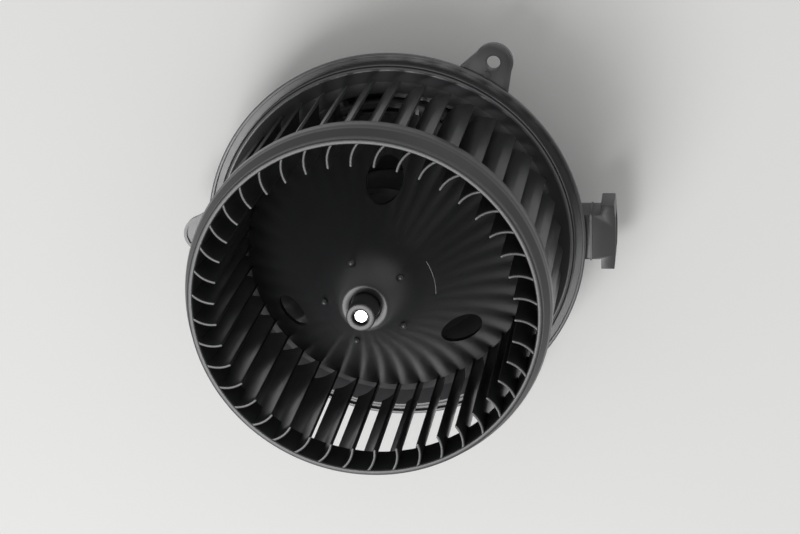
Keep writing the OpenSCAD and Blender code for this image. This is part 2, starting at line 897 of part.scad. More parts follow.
module screw_ear() {
    hole_r = flange_r + ear_reach;
    difference() {
        union() {
            ear_plate(hole_r);
            translate([flange_r + nub_r + 0.2, 0, -1]) cylinder(r = nub_r, h = 1 + ear_bead_h, $fn = 32);
        }
        translate([hole_r, 0, -ear_t - 1]) cylinder(d = ear_hole_d, h = ear_t + 3);
        translate([hole_r, 0, -0.5]) cylinder(d1 = ear_hole_d, d2 = ear_hole_d + 1.1, h = 0.55);
    }
}

// Section of the flange from its edge to the cup, and of the cup to its floor.
module flange_body() {
    under = -flange_t;
    rotate_extrude()
        polygon(concat(
            [[flange_r - edge_lean, -edge_t], [flange_r, 0.2]],
            arc([flange_r - rim_round, rim_h - rim_round], rim_round, 0, 90, 3),
            [[channel_or + 0.2, rim_h], [channel_or, rim_h - 0.2], [channel_or, 0],
             [channel_ir, 0], [channel_ir, step_z], [channel_ir - crest_step / 3, step_z + 0.5],
             [channel_ir - 0.8 * crest_step, step_z], [channel_ir - crest_step, crest_h - 0.4]],
            arc([channel_ir - crest_step - crest_round, crest_h - crest_round],
                crest_round, 60, 90, 2),
            arc([crest_r + crest_round, crest_h - crest_round], crest_round, 90, 120, 2),
            [[dish_r, dish_z], [floor_r, 0], [cup_ir, 0], [cup_ir, shelf_z],
             [can_r - 3.5, shelf_z], [can_r - 3.5, cup_floor], [0, cup_floor], [0, base_z],
             [cup_or - 2, base_z], [cup_or, base_z + 2], [cup_or, under],
             [floor_r, under], [dish_r, dish_z - flange_t],
             [crest_r - 0.6, crest_h - flange_t - 0.8], [crest_r + 0.8, -edge_t]]));
}

// Height of the flange's underside at a radius, for whatever hangs from it.
function under_z(r) = r > dish_r ? dish_z - 1 : -flange_t + 0.5;

module stiffening_ribs() {
    inner = cup_or - 1;
    outer = crest_r - 1;
    drop = 9;
    around(rib_count, 180 / rib_count)
        rotate([90, 0, 0])
            translate([0, 0, -rib_t / 2])
                linear_extrude(height = rib_t)
                    polygon([[inner, -0.6 * flange_t], [inner, -flange_t - drop - 6],
                             [outer, -edge_t], [outer, under_z(outer)], [dish_r, dish_z - 1.5],
                             [floor_r, -0.6 * flange_t]]);
}

module screw_bosses() {
    around(screw_count, screw_turn)
        translate([screw_r, 0, -screw_l - 1]) cylinder(r = screw_boss_r, h = screw_l, $fn = 48);
}

// Walls of the duct that brings cooling air from the vent into the cup.
module duct_shell() {
    wall = flange_t;
    extra = atan(wall / vent_outer_r);
    translate([0, 0, -duct_depth - wall])
        sector(vent_outer_r + wall, cup_ir + 1, vent_start - extra, vent_span + 2 * extra,
            duct_depth + wall - 0.5);
}

module duct_hollow() {
    window_z = -duct_depth;
    ledge = 1;
    translate([0, 0, window_z])
        sector(vent_outer_r - ledge, cup_or, vent_start + 1, vent_span - 2, duct_depth - flange_t);
    translate([0, 0, window_z])
        sector(cup_or + 1, cup_ir - 2, vent_start + 8, vent_span - 16, 6);
    translate([0, 0, -flange_t - 1])
        sector(vent_outer_r, vent_inner_r, vent_start, vent_span, 12);
}

// Curved bar and two short radial bars across the vent.
module vent_bars() {
    bar_foot = -6;
    spoke_foot = -5;
    spoke_top = -0.4;
    spoke_t = 1.6;
    translate([0, 0, bar_foot])
        sector(vent_bar_r, vent_bar_r - vent_bar_w, vent_start - 1, vent_span + 2,
            vent_bar_h - bar_foot);
    for (share = [1, 2])
        rotate([0, 0, vent_start + share * vent_span / 3])
            translate([vent_inner_r - 1, -spoke_t / 2, spoke_foot])
                cube([vent_bar_r - vent_bar_w - vent_inner_r + 2, spoke_t, spoke_top - spoke_foot]);
}

// Pocket under the flange that the connector slides into from outside.
module connector_pocket() {
    half = neck_w / 2 + pocket_gap + pocket_t;
    floor_z = neck_bottom - pocket_gap - pocket_t;
    translate([cup_or - 1, -half, floor_z]) cube([pocket_end - cup_or + 1, 2 * half, -floor_z - 1.2]);
}

module connector_pocket_hollow() {
    half = neck_w / 2 + pocket_gap;
    floor_z = neck_bottom - pocket_gap;
    translate([tail_x, -half, floor_z])
        cube([pocket_end - tail_x + 20, 2 * half, neck_top - floor_z]);
    translate([cup_ir - 2, -window_w / 2, terminal_z - window_h / 2])
        cube([tail_x - cup_ir + 4, window_w, window_h]);
}

module mounting_flange() {
    color([0.09, 0.09, 0.10])
    difference() {
        union() {
            difference() {
                union() {
                    flange_body();
                    stiffening_ribs();
                    screw_bosses();
                    duct_shell();
                    connector_pocket();
                }
                duct_hollow();
                translate([0, 0, shelf_z]) cylinder(r = cup_ir, h = -shelf_z + 10);
                connector_pocket_hollow();
            }
            vent_bars();
            rotate([0, 0, ear_turn]) screw_ear();
            for (step = [1, 2])
                rotate([0, 0, ear_turn + step * ear_step]) ear_plate(flange_r + lug_reach);
        }
        around(screw_count, screw_turn)
            translate([screw_r, 0, -screw_l - 0.3])
                cylinder(r = screw_d / 2 + pilot_gap, h = screw_l + 2, $fn = 48);
    }
}

// Isolators and clamp

module isolator_front() {
    color([0.07, 0.07, 0.07])
    translate([0, 0, isolator_top - isolator_front_h])
        tube(cup_ir - seat_gap, can_r + seat_gap, isolator_front_h);
}

module isolator_rear() {
    color([0.07, 0.07, 0.07])
    translate([0, 0, shelf_z]) tube(cup_ir - seat_gap, can_r - 3.5, isolator_rear_h);
}

module clamp_ring() {
    color([0.11, 0.11, 0.12])
    difference() {
        union() {
            tube(clamp_or, clamp_ir, clamp_t);
            translate([0, 0, -clamp_skirt]) tube(cup_ir - 0.2, clamp_ir, clamp_skirt + 1);
        }
        around(screw_count, screw_turn)
            translate([screw_r, 0, -1])
                cylinder(r = screw_d / 2 + 0.2, h = clamp_t + 2, $fn = 48);
    }
}

module clamp_screws() {
    recess_d = 2.6;
    color([0.60, 0.61, 0.63])
    around(screw_count, screw_turn)
        translate([screw_r, 0, clamp_t])
        difference() {
            union() {
                rotate_extrude()
                    polygon([[0, 0], [screw_head_d / 2, 0],
                             [screw_head_d / 2, screw_head_h * 0.6],
                             [screw_head_d / 2 - 0.9, screw_head_h], [0, screw_head_h]]);
                translate([0, 0, -screw_l]) cylinder(d = screw_d, h = screw_l + 1, $fn = 48);
            }
            translate([0, 0, screw_head_h - 1.4])
                for (turn = [0, 90]) rotate([0, 0, turn])
                    translate([-recess_d / 2, -0.4, 0]) cube([recess_d, 0.8, 2]);
        }
}

// Connector

module connector_housing() {
    half = neck_w / 2;
    inner_h = neck_h - 2 * socket_t;
    slot_gap = 0.05;
    color([0.10, 0.10, 0.11])
    difference() {
        union() {
            translate([tail_x, -half, neck_bottom]) cube([mouth_x - tail_x + 1, neck_w, neck_h]);
            intersection() {
                translate([mouth_x, -mouth_w / 2, neck_bottom]) cube([mouth_l + 2, mouth_w, neck_h]);
                translate([mouth_r_out - mouth_bow_r, 0, neck_bottom - 1])
                    cylinder(r = mouth_bow_r, h = neck_h + 2, $fn = 360);
            }
            translate([flange_r + 1.6, -half + 0.6, neck_top - 0.5])
                cube([1, neck_w - 1.2, 1]);
        }
        translate([socket_x, -half + socket_t, neck_bottom + socket_t])
            cube([socket_depth + 2, neck_w - 2 * socket_t, inner_h]);
        translate([tail_x - 1, -half + socket_t, neck_bottom + socket_t])
            cube([socket_tail - web_t + 1, neck_w - 2 * socket_t, inner_h]);
        for (side = [-1, 1])
            translate([tail_x, side * terminal_pitch / 2 - terminal_w / 2 - slot_gap,
                       terminal_z - terminal_t / 2 - slot_gap])
                cube([socket_tail + 2, terminal_w + 2 * slot_gap, terminal_t + 2 * slot_gap]);
    }
}

// Flat blade terminal with a chamfered end and a crimp barrel for its lead.
module terminal(side) {
    chamfer = 1;
    half = terminal_w / 2;
    barrel_l = 4;
    color([0.80, 0.72, 0.45])
    translate([0, side * terminal_pitch / 2, 0])
    union() {
        translate([0, 0, terminal_z - terminal_t / 2])
            linear_extrude(height = terminal_t)
                polygon([[terminal_in, -half], [terminal_out - chamfer, -half],
                         [terminal_out, -half + chamfer], [terminal_out, half - chamfer],
                         [terminal_out - chamfer, half], [terminal_in, half]]);
        translate([terminal_in - barrel_l, 0, terminal_z]) rotate([0, 90, 0])
            tube(lead_d / 2 + 0.6, lead_d / 2, barrel_l + 0.5);
    }
}

module terminal_positive() {
    terminal(1);
}

module terminal_negative() {
    terminal(-1);
}

module lead(side) {
    color(side > 0 ? [0.55, 0.10, 0.08] : [0.12, 0.12, 0.13])
    translate([lead_in, side * terminal_pitch / 2, terminal_z])
        rotate([0, 90, 0])
            cylinder(d = lead_d - 0.1, h = terminal_in - 0.2 - lead_in, $fn = 32);
}

module lead_positive() {
    lead(1);
}

module lead_negative() {
    lead(-1);
}

// Rubber plug in the can's window, with a hole for each lead and a rim outside the can.
module lead_grommet() {
    rim = 1;
    color([0.08, 0.08, 0.08])
    difference() {
        union() {
            intersection() {
                translate([can_ir - 3, -window_w / 2 + 0.05, terminal_z - window_h / 2 + 0.05])
                    cube([can_t + 5, window_w - 0.1, window_h - 0.1]);
                translate([0, 0, terminal_z - window_h]) tube(can_r + 0.5, can_ir, 2 * window_h);
            }
            intersection() {
                translate([can_ir - 3, -window_w / 2 - rim, terminal_z - window_h / 2])
                    cube([can_t + 5, window_w + 2 * rim, window_h]);
                translate([0, 0, terminal_z - window_h])
                    tube(can_r + 0.1 + grommet_t, can_r + 0.1, 2 * window_h);
            }
        }
        for (side = [-1, 1])
            translate([can_ir - 5, side * terminal_pitch / 2, terminal_z])
                rotate([0, 90, 0]) cylinder(d = lead_d, h = can_t + 10, $fn = 32);
    }
}

fan_wheel();
motor_shaft();
armature_core();
armature_winding();
armature_spacer();
commutator_sleeve();
commutator_bars();
thrust_washer_front();
thrust_washer_rear();
mounting_flange();
motor_can();
flux_ring();
magnet_left();
magnet_right();
magnet_spring_front();
magnet_spring_back();
bush_front();
bush_rear();
bush_retainer_front();
bush_retainer_rear();
end_plate();
brush_card();
brush_box_left();
brush_box_right();
brush_left();
brush_right();
brush_spring_left();
brush_spring_right();
choke_core_left();
choke_core_right();
choke_coil_left();
choke_coil_right();
capacitor();
isolator_front();
isolator_rear();
clamp_ring();
clamp_screws();
connector_housing();
terminal_positive();
terminal_negative();
lead_positive();
lead_negative();
lead_grommet();
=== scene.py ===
"""Looks of the cabin blower motor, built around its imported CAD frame.

The file is laid out as an add-on and is run as a script. Lengths in the helpers are metres.
"""

import json
import math

import bmesh
import bpy
from bpy.props import FloatProperty, FloatVectorProperty, IntProperty, PointerProperty
from mathutils import Matrix, Vector


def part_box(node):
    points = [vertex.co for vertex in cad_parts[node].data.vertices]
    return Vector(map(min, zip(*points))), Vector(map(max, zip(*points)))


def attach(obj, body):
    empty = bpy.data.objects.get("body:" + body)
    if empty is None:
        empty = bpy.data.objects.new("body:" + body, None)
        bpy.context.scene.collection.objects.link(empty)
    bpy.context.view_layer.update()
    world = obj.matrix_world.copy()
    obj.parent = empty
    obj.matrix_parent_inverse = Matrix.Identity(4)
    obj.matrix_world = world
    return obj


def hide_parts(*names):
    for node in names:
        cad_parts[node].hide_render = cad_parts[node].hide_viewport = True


bl_info = {
    "name": "Blower Motor Looks",
    "version": (1, 0, 0),
    "blender": (4, 5, 0),
    "location": "3D View > Sidebar > Blower",
    "description": "Builds the visible pieces, finishes and studio of a cabin blower motor",
    "category": "Object",
}

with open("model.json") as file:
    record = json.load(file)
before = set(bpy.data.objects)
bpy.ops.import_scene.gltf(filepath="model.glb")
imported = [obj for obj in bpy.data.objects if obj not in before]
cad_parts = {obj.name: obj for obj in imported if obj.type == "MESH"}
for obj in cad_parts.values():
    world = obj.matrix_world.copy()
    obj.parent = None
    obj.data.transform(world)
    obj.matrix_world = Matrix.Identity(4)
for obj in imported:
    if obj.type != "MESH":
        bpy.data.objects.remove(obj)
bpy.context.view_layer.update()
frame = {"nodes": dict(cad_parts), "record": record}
NODES = frame["nodes"]
SLOT_COLOURS = {m["slot"]: m["base_color"] for m in frame["record"]["materials"]}
NODE_SLOTS = {p["node"]: p["material_slot"] for p in frame["record"]["subparts"]}
MM = 0.001
MERGE = 0.005 * MM
FINISHES = {}

# Camera and form values fitted to the photo

CAMERA_PLACE = (0.13446, 0.29203, 0.83348)
CAMERA_TURN = (-20.2822, 8.1448, -2.5162)
CONE_TOP_RADIUS = 18 * MM
CONE_TOP_DEPTH = 12.6 * MM
CONE_FALL = 1.3256


def colour_prop(slot, name):
    """A colour that starts from the record's own colour of that slot."""
    return FloatVectorProperty(
        name=name, description=f"Base colour of the {name.lower()}", subtype="COLOR",
        size=3, min=0.0, max=1.0, default=SLOT_COLOURS[slot])


def length_prop(name, description, millimetres):
    """A length given in millimetres and kept in metres."""
    return FloatProperty(
        name=name, description=description, default=millimetres * MM, min=0.0,
        subtype="DISTANCE", unit="LENGTH", precision=5)


# Settings that a user would change


class FinishSettings(bpy.types.PropertyGroup):
    fan_plastic: colour_prop("fan_plastic", "Wheel plastic")
    flange_plastic: colour_prop("flange_plastic", "Flange plastic")
    connector_plastic: colour_prop("connector_plastic", "Connector plastic")
    clamp_plastic: colour_prop("clamp_plastic", "Clamp plastic")
    fan_roughness: FloatProperty(
        name="Wheel roughness", description="Roughness of the wheel's plastic",
        default=0.31, min=0.05, max=1.0, subtype="FACTOR")
    flange_roughness: FloatProperty(
        name="Flange roughness", description="Roughness of the flange's plastic",
        default=0.33, min=0.05, max=1.0, subtype="FACTOR")


class WheelSettings(bpy.types.PropertyGroup):
    lip_radius: length_prop("Lip radius", "Radius of the wheel over the rear lip of its ring", 76.0)
    front: length_prop("Front face", "Height of the wheel's front face above the ears", 90.5)
    back: length_prop("Blade backs", "Height of the blades' back ends above the ears", 8.5)
    blade_inner: length_prop("Blade inner radius", "Radius of the blades' inner edges", 61.3)
    blade_outer: length_prop("Blade outer radius", "Radius of the blades' outer edges", 75.0)
    blade_thickness: length_prop("Blade thickness", "Thickness of a blade", 1.1)
    blade_curve: length_prop("Blade curve", "Radius of the curve of a blade", 12.5)
    boss_radius: length_prop("Boss radius", "Radius of the boss that grips the shaft", 5.9)
    edge_round: length_prop("Edge rounding", "Rounding of the back end of a blade", 0.3)
    blade_count: IntProperty(name="Blades", description="Number of blades", default=42, min=3)
    first_blade: FloatProperty(
        name="First blade", description="Angle of the first blade", subtype="ANGLE",
        default=math.radians(-2.66))
    turn_steps: IntProperty(
        name="Turning steps", description="Steps of the ring and the cone round the axis",
        default=168, min=24)


class HousingSettings(bpy.types.PropertyGroup):
    edge_round: length_prop("Edge rounding", "Rounding of the edges of the housings", 0.3)
    rib_place: length_prop("Rib distance", "Distance of the neck's rib from the shaft axis", 86.9)
    rib_width: length_prop("Rib width", "Width of the rib round the connector's neck", 0.9)


class StudioSettings(bpy.types.PropertyGroup):
    floor_colour: FloatVectorProperty(
        name="Floor", description="Colour of the floor", subtype="COLOR", size=3,
        min=0.0, max=1.0, default=(0.80, 0.80, 0.79))
    world_strength: FloatProperty(
        name="Surround", description="Strength of the even light all round",
        default=0.80, min=0.0, max=2.0)
    overhead_share: FloatProperty(
        name="Overhead", description="Share of the surround's strength right overhead",
        default=0.40, min=0.0, max=1.0, subtype="FACTOR")
    front_power: FloatProperty(
        name="Front light", description="Power of the soft light over the wheel's mouth",
        default=8.5, min=0.0, max=100.0, subtype="POWER", unit="POWER")
    low_power: FloatProperty(
        name="Low light", description="Power of the soft light in front of the cone",
        default=2.0, min=0.0, max=100.0, subtype="POWER", unit="POWER")
    back_power: FloatProperty(
        name="Back light", description="Power of the soft light behind the screw ear",
        default=2.0, min=0.0, max=100.0, subtype="POWER", unit="POWER")
    lens: FloatProperty(
        name="Lens", description="Focal length of the camera", default=90.16,
        min=10.0, max=300.0, subtype="DISTANCE_CAMERA", unit="CAMERA")


# Small tools for shader trees


class Tree:
    """Short names for building one material's nodes."""

    def __init__(self, name):
        self.material = bpy.data.materials.new(name)
        self.material.use_nodes = True
        self.tree = self.material.node_tree
        self.shader = self.tree.nodes["Principled BSDF"]
        self.place = self.tree.nodes.new("ShaderNodeTexCoord").outputs["Object"]

    def link(self, source, target):
        self.tree.links.new(source, target)

    def noise(self, scale, detail=2.0, roughness=0.5, vector=None):
        node = self.tree.nodes.new("ShaderNodeTexNoise")
        node.inputs["Scale"].default_value = scale
        node.inputs["Detail"].default_value = detail
        node.inputs["Roughness"].default_value = roughness
        self.link(vector or self.place, node.inputs["Vector"])
        return node.outputs["Fac"]

    def stretched(self, scale):
        node = self.tree.nodes.new("ShaderNodeMapping")
        node.inputs["Scale"].default_value = scale
        self.link(self.place, node.inputs["Vector"])
        return node.outputs["Vector"]

    def ramp(self, source, stops):
        node = self.tree.nodes.new("ShaderNodeValToRGB")
        bands = node.color_ramp.elements
        while len(bands) < len(stops):
            bands.new(0.5)
        for band, (position, colour) in zip(bands, stops):
            band.position = position
            band.color = (*colour, 1.0)
        self.link(source, node.inputs["Fac"])
        return node.outputs["Color"]

    def span(self, source, low, high):
        """Spreads the middle of a noise, where most of it lies, from low to high."""
        node = self.tree.nodes.new("ShaderNodeMapRange")
        node.inputs["From Min"].default_value = 0.3
        node.inputs["From Max"].default_value = 0.7
        node.inputs["To Min"].default_value = low
        node.inputs["To Max"].default_value = high
        self.link(source, node.inputs["Value"])
        return node.outputs["Result"]

    def bump(self, height, distance, strength):
        node = self.tree.nodes.new("ShaderNodeBump")
        node.inputs["Strength"].default_value = strength
        node.inputs["Distance"].default_value = distance
        self.link(height, node.inputs["Height"])
        return node.outputs["Normal"]

    def set(self, **values):
        for name, value in values.items():
            self.shader.inputs[name.replace("_", " ")].default_value = value


def shade(colour, factor):
    """A colour made lighter or darker."""
    return tuple(min(1.0, c * factor) for c in colour)


def moulded(name, colour, roughness, grain=2600.0, depth=0.00004, spread=0.10, gloss=0.5):
    """Injection-moulded plastic: fine grain, flow marks, small changes of gloss and tone."""
    t = Tree(name)
    flow = t.noise(38.0, 4.0, 0.6)
    fine = t.noise(grain, 2.0, 0.6)
    handled = t.noise(210.0, 5.0, 0.65)
    t.link(t.ramp(flow, [(0.30, shade(colour, 1 - spread)), (0.72, shade(colour, 1 + spread))]),
           t.shader.inputs["Base Color"])
    t.link(t.span(handled, roughness - 0.015, roughness + 0.02), t.shader.inputs["Roughness"])
    t.link(t.bump(fine, depth, 0.15), t.shader.inputs["Normal"])
    t.set(Specular_IOR_Level=gloss)
    return t.material


def metal(name, colour, roughness, brushed=(60.0, 60.0, 900.0), depth=0.00002):
    """Worked metal: tool marks along one way, small changes of polish."""
    t = Tree(name)
    marks = t.noise(1.0, 3.0, 0.6, t.stretched(brushed))
    patches = t.noise(120.0, 3.0, 0.5)
    t.link(t.ramp(patches, [(0.3, shade(colour, 0.88)), (0.7, shade(colour, 1.06))]),
           t.shader.inputs["Base Color"])
    t.link(t.span(patches, roughness - 0.06, roughness + 0.08), t.shader.inputs["Roughness"])
    t.link(t.bump(marks, depth, 0.4), t.shader.inputs["Normal"])
    t.set(Metallic=1.0)
    return t.material


def rough_solid(name, colour, roughness, scale, depth):
    """Sintered, laminated or fibrous stuff with a dull broken surface."""
    t = Tree(name)
    spots = t.noise(scale, 4.0, 0.7)
    t.link(t.ramp(spots, [(0.35, shade(colour, 0.72)), (0.65, shade(colour, 1.2))]),
           t.shader.inputs["Base Color"])
    t.link(t.span(spots, roughness - 0.05, roughness + 0.1), t.shader.inputs["Roughness"])
    t.link(t.bump(spots, depth, 0.6), t.shader.inputs["Normal"])
    return t.material


def finishes(settings):
    """All finishes by the record's slot names."""
    c = SLOT_COLOURS
    return {
        # Painted shade: the wheel's plastic is darkened to 0.6 of its slot colour, standing in for
        # the deep shade inside the cone.
        "fan_plastic": moulded("satin_black_wheel", shade(settings.fan_plastic, 0.6),
                               settings.fan_roughness, gloss=0.55),
        # Painted light: the flange's plastic is lightened to 1.8 of its slot colour, standing in
        # for the light falling on its dish and crest.
        "flange_plastic": moulded("grained_black_flange", shade(settings.flange_plastic, 1.8),
                                  settings.flange_roughness, 2000.0, 0.00006, gloss=0.8),
        "connector_plastic": moulded("satin_black_connector", settings.connector_plastic,
                                     0.30, gloss=0.8),
        "clamp_plastic": moulded("matte_black_clamp", settings.clamp_plastic, 0.55),
        "shaft_steel": metal("ground_shaft_steel", c["shaft_steel"], 0.22, (900.0, 900.0, 900.0)),
        "can_steel": moulded("coated_can_steel", c["can_steel"], 0.34, 900.0, 0.00003),
        "band_steel": metal("rolled_band_steel", c["band_steel"], 0.42),
        "core_steel": metal("stacked_laminations", c["core_steel"], 0.45,
                            (30.0, 30.0, 2200.0), 0.00008),
        "copper": metal("enamelled_copper", c["copper"], 0.30, (300.0, 300.0, 2600.0), 0.0002),
        "commutator_copper": metal("turned_copper", c["commutator_copper"], 0.28),
        "moulding": rough_solid("brown_moulding", c["moulding"], 0.55, 900.0, 0.00003),
        "spacer_plastic": moulded("natural_nylon", c["spacer_plastic"], 0.45, spread=0.06),
        "washer_fibre": rough_solid("washer_fibre", c["washer_fibre"], 0.7, 1400.0, 0.00004),
        "magnet_ferrite": rough_solid("sintered_ferrite", c["magnet_ferrite"], 0.6,
                                      1600.0, 0.00004),
        "spring_steel": metal("spring_steel", c["spring_steel"], 0.3),
        "bush_bronze": rough_solid("sintered_bronze", c["bush_bronze"], 0.5, 2200.0, 0.00005),
        "plate_steel": metal("zinc_plated_plate", c["plate_steel"], 0.33, (200.0, 200.0, 200.0)),
        "card_board": rough_solid("laminated_board", c["card_board"], 0.6, 1200.0, 0.00003),
        "brass_sheet": metal("plain_brass", c["brass_sheet"], 0.3),
        "carbon": rough_solid("brush_carbon", c["carbon"], 0.5, 2000.0, 0.00003),
        "choke_ferrite": rough_solid("choke_ferrite", c["choke_ferrite"], 0.55, 1600.0, 0.00003),
        "capacitor_resin": moulded("dipped_resin", c["capacitor_resin"], 0.2, 400.0, spread=0.1),
        "rubber_black": rough_solid("black_rubber", c["rubber_black"], 0.72, 1800.0, 0.00004),
        "screw_steel": metal("zinc_plated_screw", c["screw_steel"], 0.3),
        "terminal_brass": metal("tinned_brass", c["terminal_brass"], 0.28),
        "lead_red": moulded("red_insulation", c["lead_red"], 0.42, spread=0.08),
        "lead_black": moulded("black_insulation", c["lead_black"], 0.42, spread=0.08),
    }


def coat(obj, material):
    """Gives the object one material all over."""
    obj.data.materials.clear()
    obj.data.materials.append(material)


class BLOWER_OT_finishes(bpy.types.Operator):
    """Gives every CAD piece its procedural finish"""
    bl_idname = "blower.finishes"
    bl_label = "Finishes"

    def execute(self, context):
        FINISHES.update(finishes(context.scene.blower_finish))
        for node, obj in NODES.items():
            coat(obj, FINISHES[NODE_SLOTS[node]])
        return {"FINISHED"}


# Modelling steps, as by hand


def begin(name, primitive, **place):
    """Adds a primitive at its size and place and opens it for editing."""
    bpy.ops.object.select_all(action="DESELECT")
    primitive(**place)
    obj = bpy.context.active_object
    obj.name = obj.data.name = name
    bpy.ops.object.transform_apply(location=True, rotation=True, scale=True)
    bpy.ops.object.mode_set(mode="EDIT")
    bpy.ops.mesh.select_mode(type="VERT")
    return obj


def choose(obj, kind, test):
    """Selects the vertices, edges or faces of the open mesh that pass the test."""
    bpy.ops.mesh.select_all(action="DESELECT")
    bpy.ops.mesh.select_mode(type={"verts": "VERT", "edges": "EDGE", "faces": "FACE"}[kind])
    mesh = bmesh.from_edit_mesh(obj.data)
    chosen = [part for part in getattr(mesh, kind) if test(part)]
    for part in chosen:
        part.select_set(True)
    mesh.select_flush_mode()
    bmesh.update_edit_mesh(obj.data)
    if not chosen:
        raise RuntimeError(f"nothing to select on {obj.name}")


def near(place):
    """A test for choose: the vertices at a place."""
    return lambda vert: (vert.co - place).length < 0.02 * MM


def draw_section(name, corners):
    """Draws a closed section in the XZ plane, corner by corner, and rounds its corners.

    A corner is its radius, its height and how far its rounding cuts back, in metres."""
    places = [Vector((r, 0.0, z)) for r, z, _ in corners]
    obj = begin(name, bpy.ops.mesh.primitive_plane_add, size=MM, location=places[0])
    bpy.ops.mesh.select_all(action="SELECT")
    bpy.ops.mesh.merge(type="CENTER")
    for start, end in zip(places, places[1:] + places[:1]):
        bpy.ops.mesh.extrude_vertices_move(TRANSFORM_OT_translate={"value": end - start})
    bpy.ops.mesh.select_all(action="SELECT")
    bpy.ops.mesh.remove_doubles(threshold=MERGE)
    for place, (_, _, cut) in zip(places, corners):
        if cut:
            choose(obj, "verts", near(place))
            bpy.ops.mesh.bevel(offset=cut, segments=6 if cut > 2 * MM else 3, affect="VERTICES")
    return obj


def turn_round(steps):
    """Spins the open section all the way round the shaft axis into a closed shell."""
    bpy.ops.mesh.select_all(action="SELECT")
    bpy.ops.mesh.spin(steps=steps, angle=math.tau, center=(0, 0, 0), axis=(0, 0, 1))
    bpy.ops.mesh.select_all(action="SELECT")
    bpy.ops.mesh.remove_doubles(threshold=MERGE)
    bpy.ops.mesh.normals_make_consistent(inside=False)
    bpy.ops.object.mode_set(mode="OBJECT")


def bisect(obj, place, normal):
    """Cuts the open mesh by a plane, drops what lies beyond it and closes the cut."""
    bpy.ops.mesh.select_mode(type="VERT")
    bpy.ops.mesh.select_all(action="SELECT")
    bpy.ops.mesh.bisect(plane_co=place, plane_no=normal.normalized(), use_fill=True,
                        clear_outer=True, threshold=0.000001)


def join(pieces):
    """Joins the pieces into the first of them."""
    bpy.ops.object.select_all(action="DESELECT")
    for piece in pieces:
        piece.select_set(True)
    bpy.context.view_layer.objects.active = pieces[0]
    bpy.ops.object.join()
    return pieces[0]


def boolean(obj, other, operation):
    """Applies a boolean with another object and deletes that object."""
    bpy.ops.object.select_all(action="DESELECT")
    bpy.context.view_layer.objects.active = obj
    obj.select_set(True)
    step = obj.modifiers.new("cut", "BOOLEAN")
    step.operation, step.object, step.solver = operation, other, "EXACT"
    bpy.ops.object.modifier_apply(modifier=step.name)
    bpy.data.objects.remove(other)


def finish_piece(obj, body, slot, nodes):
    """Smooths a finished piece and hands it to the frame in place of its CAD nodes."""
    bpy.ops.object.select_all(action="DESELECT")
    bpy.context.view_layer.objects.active = obj
    obj.select_set(True)
    bpy.ops.object.shade_smooth_by_angle(angle=math.radians(35.0))
    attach(obj, body)
    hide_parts(*nodes)
    coat(obj, FINISHES[slot])


def polar(radius, degrees, z=0.0):
    """A place from its distance and its angle round the shaft axis."""
    a = math.radians(degrees)
    return Vector((radius * math.cos(a), radius * math.sin(a), z))


# Fan wheel


def wheel_ring(s):
    """The front ring: a nose, a slanted band and a broad lip outside, a straight wall inside."""
    lip, nose = s.lip_radius, s.lip_radius - 3.1 * MM
    mouth, z = nose - 2.3 * MM, s.front
    lip_end, wall_end = z - 15.5 * MM, z - 17.4 * MM
    nose_and_band = [
        (mouth, z, 0.5 * MM), (nose, z, 0.5 * MM), (nose, z - 3.6 * MM, 0.5 * MM),
        (nose + 2.4 * MM, z - 7.2 * MM, 0.4 * MM), (nose + 2.6 * MM, z - 8.4 * MM, 0.8 * MM)]
    broad_lip = [
        (lip, z - 9.8 * MM, 0.8 * MM), (lip, lip_end, 0.6 * MM),
        (lip - 1.5 * MM, lip_end, 0.3 * MM)]
    inner_wall = [
        (mouth + 1.5 * MM, z - 8.8 * MM, 0.3 * MM), (mouth + 0.9 * MM, wall_end, 0.4 * MM),
        (mouth - 0.6 * MM, wall_end, 0.4 * MM)]
    draw_section("wheel_ring", nose_and_band + broad_lip + inner_wall)
    turn_round(s.turn_steps)
    return bpy.context.active_object


def cone_z(s, radius):
    """Height of the cone's outside at a radius between the pips and the rim."""
    return s.front - CONE_TOP_DEPTH - (radius - CONE_TOP_RADIUS) * CONE_FALL


def wheel_hub(s):
    """The cone with its rim, its rounded top, the collar, the groove and the bored boss."""
    rim, z, boss = s.blade_inner + 1.7 * MM, s.front, s.boss_radius
    boss_top, groove_floor, groove_edge = z + 6 * MM, z - 7.4 * MM, boss + 0.35 * MM
    rim_end, rim_inside = s.back + 6.5 * MM, rim - 1.6 * MM
    sleeve, sleeve_top, sleeve_end = 7 * MM, z - 12.3 * MM, z - 24.6 * MM
    bore, bore_mouth, bore_step = 3.05 * MM, 3.4 * MM, z + 3.5 * MM
    top = CONE_TOP_RADIUS
    boss_and_collar = [
        (bore_mouth, boss_top, 0.3 * MM), (boss, boss_top, 0.5 * MM),
        (boss, groove_floor, 0.12 * MM), (groove_edge, groove_floor, 0.12 * MM),
        (groove_edge, z - 5.5 * MM, 0.7 * MM), (9.9 * MM, z - 5.3 * MM, 1.1 * MM)]
    cone_and_rim = [
        (top, cone_z(s, top), 8.0 * MM), (rim, cone_z(s, rim), 0.7 * MM),
        (rim, rim_end, 0.5 * MM), (rim_inside, rim_end, 0.4 * MM)]
    underside = [
        (rim_inside, cone_z(s, rim) - 1.2 * MM, 0), (top, cone_z(s, top) - 3.32 * MM, 2 * MM),
        (12 * MM, sleeve_top, 1 * MM), (sleeve, sleeve_top, 0.5 * MM),
        (sleeve, sleeve_end, 0.5 * MM)]
    shaft_bore = [
        (bore, sleeve_end, 0.3 * MM), (bore, bore_step, 0), (bore_mouth, bore_step, 0)]
    draw_section("wheel_hub", boss_and_collar + cone_and_rim + underside + shaft_bore)
    turn_round(s.turn_steps)
    return bpy.context.active_object


